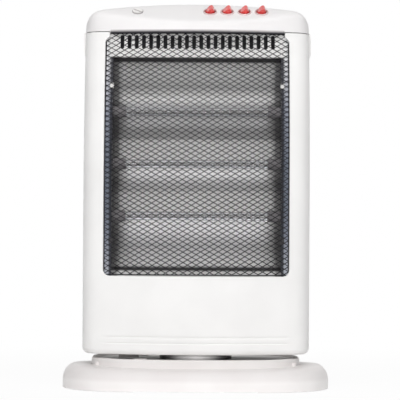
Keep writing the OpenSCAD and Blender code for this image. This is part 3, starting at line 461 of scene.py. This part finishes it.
def windowOutline():  # corners of the window seen from the front, as (x, z)
    w, z0, r = front["windowHalf"], front["windowLow"], front["lowR"]
    turns = [math.pi / 2 * k / front["cornerSteps"] for k in range(front["cornerSteps"] + 1)]
    half = [(w - r + r * math.sin(turn), z0 + r - r * math.cos(turn)) for turn in turns]
    # the upper corners: share of the step inwards, and how far below the seam
    half += [(w - front["topIn"] * step, body["seam"] - down) for step, down in front["topCorner"]]
    return half + [(-x, z) for x, z in reversed(half)]


def insideOutline(outline, x, z):
    hits = 0
    for (x0, z0), (x1, z1) in zip(outline, outline[1:] + outline[:1]):
        if (z0 > z) != (z1 > z) and x < x0 + (x1 - x0) * (z - z0) / (z1 - z0):
            hits += 1
    return hits % 2 == 1


def cutWindow(bm):
    outline = windowOutline()
    for (x0, z0), (x1, z1) in zip(outline, outline[1:] + outline[:1]):
        near = []
        for face in bm.faces:
            xs, zs = [v.co.x for v in face.verts], [v.co.z for v in face.verts]
            if (face.verts[0].co.y < front["windowBefore"]
                    and max(xs) > min(x0, x1) - 0.01 and min(xs) < max(x0, x1) + 0.01
                    and max(zs) > min(z0, z1) - 0.01 and min(zs) < max(z0, z1) + 0.01):
                near.append(face)
        if near:
            cutPlane(bm, (x0, 0, z0), Vector((z1 - z0, 0, x0 - x1)).normalized(), faces=near)
    gone = []
    for face in bm.faces:
        c = face.calc_center_median()
        if c.y < front["windowBefore"] and insideOutline(outline, c.x, c.z):
            gone.append(face)
    bmesh.ops.delete(bm, geom=gone, context="FACES")


bm = bmesh.new()
gridSheet(bm, -1, 1, body["low"], body["seam"] - body["seamGap"], front["across"], front["up"])
levels = [z + dz for z in front["grooves"] for dz in (-front["grooveHalf"], 0, front["grooveHalf"])]
for k in range(1, front["edgeSteps"] + 1):
    levels.append(body["low"] + body["edgeR"] * (1 - math.cos(math.pi / 2 * k / front["edgeSteps"])))
for z in levels + [body["seam"] - body["seamGap"] - body["seamCut"]]:
    cutPlane(bm, (0, 0, z), (0, 0, 1))
for v in bm.verts:
    inset = edgeInset(v.co.z)
    x = frontPoint(v.co.x, inset)[0]
    y = frontPoint(v.co.x, inset * body["edgeFront"])[1]
    sweepShare = (body["split"] - y) / (body["split"] - body["sweepFull"])
    v.co.x = x
    v.co.y = y + sweepBack(v.co.z) * min(1.0, max(0.0, sweepShare))
    if min(abs(v.co.z - z) for z in front["grooves"]) < 0.1:  # the middle line of a groove
        grooveShare = (front["grooveReach"] - abs(x)) / front["grooveFade"]
        v.co.y += front["grooveDeep"] * min(1.0, max(0.0, grooveShare))
cutWindow(bm)
addPiece("frontHousing", bm, shellAbs, "head", "front_housing", thickness=body["wall"],
         bevel=front["bevel"], sharp=40, towards=(0, -1, 0))
print("front housing done")

# guard: expanded metal, a lattice of diamonds bent both ways

guard = {"pitchX": 10.1, "pitchZ": 5.93, "strand": 0.78, "sheet": 0.6, "radius": 440, "half": 106.4,
         "low": 131.6, "top": 412.5, "setBack": 4, "topBand": 1.4, "rim": 1.1, "twist": 0.35,
         "cells": 92, "askew": 0.85, "centre": (-1.0, 220.7), "tabs": (-83, 0, 83), "tabWidth": 5,
         "tabTop": 416, "rimSteps": 40}

bm = bmesh.new()
bmesh.ops.create_grid(bm, x_segments=guard["cells"], y_segments=guard["cells"], size=guard["cells"] / 2)
# the inset is half a strand, in cells: a cell is this many millimetres between two of its sides
cellAcross = guard["pitchX"] * guard["pitchZ"] / 2 / math.hypot(guard["pitchX"] / 2, guard["pitchZ"] / 2)
holes = list(bm.faces)
bmesh.ops.inset_individual(bm, faces=holes, thickness=guard["strand"] / 2 / cellAcross,
                           use_even_offset=True)
for face in holes:  # each strand leans, as the press leaves it: lower edge forwards, upper edge back
    c = face.calc_center_median()
    for v in face.verts:
        v.co.z = -guard["twist"] * ((v.co.x - c.x) + (v.co.y - c.y))
bmesh.ops.delete(bm, geom=holes, context="FACES")
root = math.sqrt(2)  # the square grid is turned by 45 degrees and stretched to the diamonds' pitch
bmesh.ops.transform(bm, matrix=Matrix.Translation((guard["centre"][0], 0, guard["centre"][1]))
                    @ Matrix.Rotation(math.radians(-guard["askew"]), 4, "Y")
                    @ Matrix.Rotation(math.pi / 2, 4, "X")
                    @ Matrix.Diagonal((guard["pitchX"] / root, guard["pitchZ"] / root, 1, 1))
                    @ Matrix.Rotation(math.radians(45), 4, "Z"), verts=bm.verts)
half, bandLow = guard["half"], guard["top"] - guard["topBand"]
for point, normal in [((half, 0, 0), (1, 0, 0)), ((-half, 0, 0), (-1, 0, 0)),
                      ((0, 0, guard["low"]), (0, 0, -1)), ((0, 0, bandLow), (0, 0, 1))]:
    cutPlane(bm, point, normal, clear=True)
gridSheet(bm, -half, half, bandLow, guard["top"], guard["rimSteps"], 1)
gridSheet(bm, -half, half, guard["low"], guard["low"] + guard["rim"], guard["rimSteps"], 1)
for side in (-1, 1):
    inner, outer = sorted((side * (half - guard["rim"]), side * half))
    gridSheet(bm, inner, outer, guard["low"], guard["top"], 1, guard["rimSteps"])
for x in guard["tabs"]:
    gridSheet(bm, x - guard["tabWidth"] / 2, x + guard["tabWidth"] / 2, guard["top"], guard["tabTop"], 2, 2)
for v in bm.verts:
    bow = guard["radius"] - math.sqrt(guard["radius"] ** 2 - v.co.x ** 2)
    v.co.y += body["front"] + guard["setBack"] + bow + sweepBack(v.co.z)
addPiece("meshGuard", bm, meshEnamel, "head", "mesh_guard", thickness=guard["sheet"],
         sharp=40, towards=(0, -1, 0))
print("guard done")

# reflector: folded sheet with three troughs and a row of slots

trough = {"half": 97.5, "sheet": 0.8, "tubes": (320.5, 260, 199.5), "back": 10, "ridge": -6, "setBack": 18.04,
          "top": 383, "low": 138.5, "faceTop": 419, "faceLow": 123.5, "faceHalf": 102, "slots": 22,
          "slotPitch": 8.333, "slotWide": 4.5, "slotShift": 0.25, "slotLong": 16.8, "slotZ": 402,
          "slotBand": 26, "slotSteps": 24, "across": 6, "rows": 180, "topRows": 4, "bandRows": 6}


def faceY(z):
    return body["front"] + sweepBack(z) + trough["setBack"]


def troughY(z):
    if z >= trough["top"] or z <= trough["low"]:
        return faceY(z)
    tubes = trough["tubes"]
    nearest = min(range(len(tubes)), key=lambda k: abs(z - tubes[k]))
    up = z > tubes[nearest]
    if (nearest == 0 and up) or (nearest == len(tubes) - 1 and not up):
        edgeZ = trough["top"] if up else trough["low"]
        edgeY = faceY(edgeZ)
    else:
        halfway = (tubes[0] - tubes[1]) / 2
        edgeZ = tubes[nearest] + (halfway if up else -halfway)
        edgeY = trough["ridge"]
    return trough["back"] - (trough["back"] - edgeY) * ((z - tubes[nearest]) / (edgeZ - tubes[nearest])) ** 2


bm = bmesh.new()
bandLow = trough["slotZ"] - trough["slotBand"] / 2
bandTop = trough["slotZ"] + trough["slotBand"] / 2
for z0, z1, rows in ((trough["faceLow"], bandLow, trough["rows"]),
                     (bandTop, trough["faceTop"], trough["topRows"])):
    gridSheet(bm, -trough["half"], trough["half"], z0, z1, trough["across"], rows)
slotRun = trough["slots"] * trough["slotPitch"] / 2
for side in (-1, 1):
    inner, outer = sorted((side * slotRun, side * trough["half"]))
    gridSheet(bm, inner, outer, bandLow, bandTop, 2, trough["bandRows"])
for k in range(trough["slots"]):  # a cell is a ring of faces between the slot's edge and the cell's
    middle = (k - (trough["slots"] - 1) / 2) * trough["slotPitch"]
    rings = []
    for outerRing in (False, True):
        ring = bmesh.ops.create_circle(bm, segments=trough["slotSteps"], radius=1)["verts"]
        for v in ring:
            c, s = v.co.x, v.co.y
            if outerRing:
                reach = max(abs(c), abs(s))
                x, z = c / reach * trough["slotPitch"] / 2, s / reach * trough["slotBand"] / 2
            else:
                straight = (trough["slotLong"] - trough["slotWide"]) / 2
                x = trough["slotShift"] + c * trough["slotWide"] / 2
                z = s * trough["slotWide"] / 2 + math.copysign(straight, s)
            v.co = (middle + x, 0, trough["slotZ"] + z)
        rings.append({e for v in ring for e in v.link_edges})
    bmesh.ops.bridge_loops(bm, edges=list(rings[0] | rings[1]))
for v in bm.verts:
    v.co.y = troughY(v.co.z)
    if v.co.z > trough["top"] + 1 and abs(v.co.x) > trough["half"] - 0.01:
        v.co.x = math.copysign(trough["faceHalf"], v.co.x)  # the face runs on to the end plates
addPiece("reflectorSheet", bm, troughSheet, "head", "reflector",
         thickness=trough["sheet"], sharp=50, towards=(0, -1, 0))
print("reflector done")

# quartz tubes and wound coils

tube = {"outer": 5, "inner": 4, "half": 88.5, "y": -10, "steps": 48}
coil = {"radius": 2.5, "wire": 0.38, "wireSides": 6, "pitch": 1.9, "half": 80, "stepsPerTurn": 12,
        "tailR": 1.1, "tailSides": 8, "tailIn": 1}


def quartzTube(bm, z):
    lathe(bm, [(tube["inner"], -tube["half"]), (tube["outer"], -tube["half"]), (tube["outer"], tube["half"]),
               (tube["inner"], tube["half"])], (0, tube["y"], z), (1, 0, 0), tube["steps"])


def heatingCoil(bm, z):
    turns = int(2 * coil["half"] / coil["pitch"])
    ring = bmesh.ops.create_circle(bm, segments=coil["wireSides"], radius=coil["wire"])["verts"]
    bmesh.ops.rotate(bm, matrix=Matrix.Rotation(math.pi / 2, 3, "Y"), verts=ring)
    bmesh.ops.rotate(bm, matrix=Matrix.Rotation(math.pi / 2, 3, "Z"), verts=ring)
    bmesh.ops.translate(bm, vec=(-coil["half"], tube["y"], z + coil["radius"]), verts=ring)
    bmesh.ops.spin(bm, geom=bm.verts[:] + bm.edges[:], cent=(0, tube["y"], z), axis=(1, 0, 0),
                   dvec=(coil["pitch"] / coil["stepsPerTurn"], 0, 0), angle=turns * 2 * math.pi,
                   steps=turns * coil["stepsPerTurn"])
    for side in (-1, 1):  # straight tails into the ceramic ends
        inner, outer = coil["half"] - coil["tailIn"], tube["half"]
        before = set(bm.verts)
        bmesh.ops.create_cone(bm, segments=coil["tailSides"], radius1=coil["tailR"], radius2=coil["tailR"],
                              depth=outer - inner, cap_ends=True)
        tail = [v for v in bm.verts if v not in before]
        bmesh.ops.rotate(bm, matrix=Matrix.Rotation(math.pi / 2, 3, "Y"), verts=tail)
        bmesh.ops.translate(bm, vec=(side * (inner + outer) / 2, tube["y"], z), verts=tail)


for k, z in enumerate(trough["tubes"], 1):
    bm = bmesh.new()
    quartzTube(bm, z)
    addPiece(f"quartzTube{k}", bm, fusedQuartz, "head", f"quartz_tube_{k}")
    bm = bmesh.new()
    heatingCoil(bm, z)
    addPiece(f"heatingCoil{k}", bm, coilWire, "head", f"heating_coil_{k}", sharp=80)
print("tubes done")

# rocker switches

switch = {"count": 4, "first": 14.6, "pitch": 20, "y": -0.6, "slope": 0.66, "edgeZ": 424.8, "panelAbove": 7.5,
          "bezelR": 8.1, "wellR": 6.8, "wellDeep": 8, "bodyR": 7.2, "bodyDeep": 15, "core": 0.01,
          "rockerR": 5.5, "rockerDeep": 4, "rockerRows": (-3, 0, 3), "bevel": 0.35, "steps": 48,
          # the bezel's rim from its edge inwards: distance in from the edge, and height
          "rim": [(0, 0), (0, 0.7), (0.15, 1.1), (0.4, 1.4), (0.75, 1.55), (1.0, 1.5)],
          "rimInner": [(0.1, 1.15), (0, 0.8)],  # the same at the well, out from its wall
          # height of the rocker's top over its width: it falls to the left and stands up at the right
          "rockerTop": [(-5.5, 0.2), (-4.9, 0.8), (-4, 2.1), (-2.8, 3.5), (-1.2, 5), (0.2, 6), (1.3, 6.5),
                        (2.3, 6.6), (3.3, 6.1), (4.2, 4.8), (4.9, 3.1), (5.4, 1.4), (5.5, 0.8)]}


def rockerHeight(u):
    points = switch["rockerTop"]
    for (u0, h0), (u1, h1) in zip(points, points[1:]):
        if u <= u1:
            return h0 + (h1 - h0) * (u - u0) / (u1 - u0)
    return points[-1][1]


def ontoPanel(x):  # from a switch's own place to where it sits on the sloped panel
    lean = math.tan(math.asin((body["seam"] - body["sweepZ"]) / body["sweepR"]))
    panelFront = -(body["front"] + sweepBack(body["seam"])) - switch["panelAbove"] * lean
    z = switch["edgeZ"] + (switch["y"] + panelFront) * switch["slope"]
    return Matrix.Translation((x, switch["y"], z)) @ Matrix.Rotation(math.atan(switch["slope"]), 4, "X")


def switchBezel(bm):
    edge, well, core, shank = (switch[key] for key in ("bezelR", "wellR", "core", "bodyR"))
    profile = [(edge - step, high) for step, high in switch["rim"]]
    profile += [(well + step, high) for step, high in switch["rimInner"]]
    profile += [(well, -switch["wellDeep"]), (core, -switch["wellDeep"]), (core, -switch["bodyDeep"]),
                (shank, -switch["bodyDeep"]), (shank, 0)]
    lathe(bm, profile, (0, 0, 0), (0, 0, 1), switch["steps"])


def switchRocker(bm):
    bmesh.ops.create_circle(bm, cap_ends=True, radius=switch["rockerR"], segments=switch["steps"])
    for u, _ in switch["rockerTop"][1:-1]:
        cutPlane(bm, (u, 0, 0), (1, 0, 0))
    for v in switch["rockerRows"]:
        cutPlane(bm, (0, v, 0), (0, 1, 0))
    raised = bmesh.ops.extrude_face_region(bm, geom=bm.faces[:])["geom"]
    raised = {v for v in raised if isinstance(v, bmesh.types.BMVert)}
    for v in bm.verts:
        v.co.z = rockerHeight(v.co.x) if v in raised else -switch["rockerDeep"]


for k in range(switch["count"]):
    place = ontoPanel(switch["first"] + k * switch["pitch"])
    bm = bmesh.new()
    switchBezel(bm)
    bmesh.ops.transform(bm, matrix=place, verts=bm.verts)
    addPiece(f"switchBezel{k + 1}", bm, ringPlastic, "head", f"switch_{k + 1}", sharp=50)
    bm = bmesh.new()
    switchRocker(bm)
    bmesh.ops.transform(bm, matrix=place, verts=bm.verts)
    addPiece(f"switchRocker{k + 1}", bm, rockerRed, f"rocker_{k + 1}", f"rocker_{k + 1}",
             bevel=switch["bevel"], sharp=30)
print("switches done")

# turned ring between foot and body

turnedRing = {"outer": 42, "inner": 34, "low": 34, "top": 41.7, "edge": 0.3, "grooveZ": 36,
              "grooveHalf": 0.4, "grooveDeep": 0.5, "steps": 128,
              # the upper edge: how far in from the outside and down from the top
              "shoulder": [(0, 0.6), (0.5, 0.1), (0.8, 0)]}
bm = bmesh.new()
outer, inner, low, top = (turnedRing[key] for key in ("outer", "inner", "low", "top"))
edge, grooveZ, grooveHalf = (turnedRing[key] for key in ("edge", "grooveZ", "grooveHalf"))
profile = [(inner, low), (outer - edge, low), (outer, low + edge), (outer, grooveZ - grooveHalf),
           (outer - turnedRing["grooveDeep"], grooveZ), (outer, grooveZ + grooveHalf)]
profile += [(outer - step, top - down) for step, down in turnedRing["shoulder"]]
profile += [(inner + 2 * edge, top), (inner, top - 2 * edge)]
lathe(bm, profile, (0, 0, 0), (0, 0, 1), turnedRing["steps"])
addPiece("turnedRing", bm, ringSteel, "base", "turntable_ring", sharp=50)
print("ring done")

# floor, light and camera

studio = {"worldGlow": 0.2, "floorSize": 40, "floorShow": 0.94, "floorBounce": 0.9, "shadowReach": 0.35,
          "whiteFrom": 0.9}
# name, place, target, size and power of each lamp
softBoxes = [("keyBox", (-0.15, -2.6, 0.3), (0, 0, 0.2), (1.2, 0.7), 27),
             ("fillBox", (2.1, -0.9, 0.4), (0, 0, 0.2), (1.2, 1.0), 2.2),
             ("sideBox", (-2.1, -1.0, 0.4), (0, 0, 0.2), (1.2, 0.9), 1.2),
             ("backBox", (0.6, 2.2, 1.3), (0, 0, 0.25), (1.6, 1.2), 12),
             ("topBox", (0, -1.2, 2.3), (0, 0, 0.2), (2.2, 1.2), 31)]


def seenAtOnce(tree, path):  # 1 for what the camera sees itself, in shine or through glass
    most = path.outputs["Is Camera Ray"]
    for other in ("Is Glossy Ray", "Is Transmission Ray"):
        larger = addNode(tree, "ShaderNodeMath", {0: most, 1: path.outputs[other]}, operation="MAXIMUM")
        most = larger.outputs[0]
    return most


def softBox(name, place, target, size, power):
    data = bpy.data.lights.new(name, "AREA")
    data.shape = "RECTANGLE"
    data.size, data.size_y = size
    data.energy = power
    lampObject = bpy.data.objects.new(name, data)
    scene.collection.objects.link(lampObject)
    aim = (Vector(target) - Vector(place)).to_track_quat("-Z", "Y")
    lampObject.visible_glossy = False  # shiny parts mirror the white studio, not the lamps
    lampObject.matrix_world = Matrix.Translation(place) @ aim.to_matrix().to_4x4()


bm = bmesh.new()
bmesh.ops.create_grid(bm, x_segments=1, y_segments=1, size=studio["floorSize"])
floorMesh = bpy.data.meshes.new("floor")
bm.to_mesh(floorMesh)
bm.free()
floor = bpy.data.objects.new("floor", floorMesh)
scene.collection.objects.link(floor)
floorPaper, tree, shader = newMaterial("whitePaperFloor")
setShader(shader, Roughness=0.9)
path = addNode(tree, "ShaderNodeLightPath")
bounce = addNode(tree, "ShaderNodeMix", {0: path.outputs["Is Diffuse Ray"]},
                 {6: white, 7: (studio["floorBounce"],) * 3 + (1,)}, data_type="RGBA")
tree.links.new(bounce.outputs[2], shader.inputs["Base Color"])
# near the heater the paper takes its shadow, further out it runs into the white behind
fromMiddle = addNode(tree, "ShaderNodeVectorMath", {0: placeOf(tree, (mm, mm, mm))}, operation="LENGTH")
plain = addNode(tree, "ShaderNodeMapRange", {"Value": fromMiddle.outputs["Value"]},
                {"From Min": studio["shadowReach"], "From Max": studio["whiteFrom"],
                 "To Min": studio["floorShow"], "To Max": 1.0}, interpolation_type="SMOOTHSTEP")
share = bothOf(tree, seenAtOnce(tree, path), plain.outputs["Result"])
glow = addNode(tree, "ShaderNodeEmission", values={"Color": white, "Strength": 1.0})
mix = addNode(tree, "ShaderNodeMixShader", {0: share, 1: shader.outputs[0], 2: glow.outputs[0]})
tree.links.new(mix.outputs[0], tree.nodes["Material Output"].inputs["Surface"])
floorMesh.materials.append(floorPaper)

world = bpy.data.worlds.new("whiteStudio")
scene.world = world
world.use_nodes = True
tree = world.node_tree
seen = seenAtOnce(tree, addNode(tree, "ShaderNodeLightPath"))
strength = shareAbove(tree, seen, 0, 1, studio["worldGlow"], 1.0)
tree.links.new(strength, tree.nodes["Background"].inputs["Strength"])
tree.nodes["Background"].inputs["Color"].default_value = white

for box in softBoxes:
    softBox(*box)

# metres and degrees, and how long the lens is in pixels of the picture
shot = {"distance": 2.4, "height": 0.192, "focalPixels": 2057, "pictureWide": 400, "sensor": 36,
        "pitch": 0.632, "yaw": -0.0975, "roll": 0.35, "near": 0.1, "far": 100}
cameraData = bpy.data.cameras.new("camera")
cameraData.sensor_width = shot["sensor"]
cameraData.lens = shot["focalPixels"] / shot["pictureWide"] * shot["sensor"]
cameraData.clip_start, cameraData.clip_end = shot["near"], shot["far"]
camera = bpy.data.objects.new("camera", cameraData)
scene.collection.objects.link(camera)
camera.matrix_world = (Matrix.Translation((0, -shot["distance"], shot["height"]))
                       @ Matrix.Rotation(math.radians(shot["yaw"]), 4, "Z")
                       @ Matrix.Rotation(math.radians(90 + shot["pitch"]), 4, "X")
                       @ Matrix.Rotation(math.radians(shot["roll"]), 4, "Z"))
bpy.context.scene.camera = camera
scene.view_settings.view_transform = "Standard"
print("studio done")
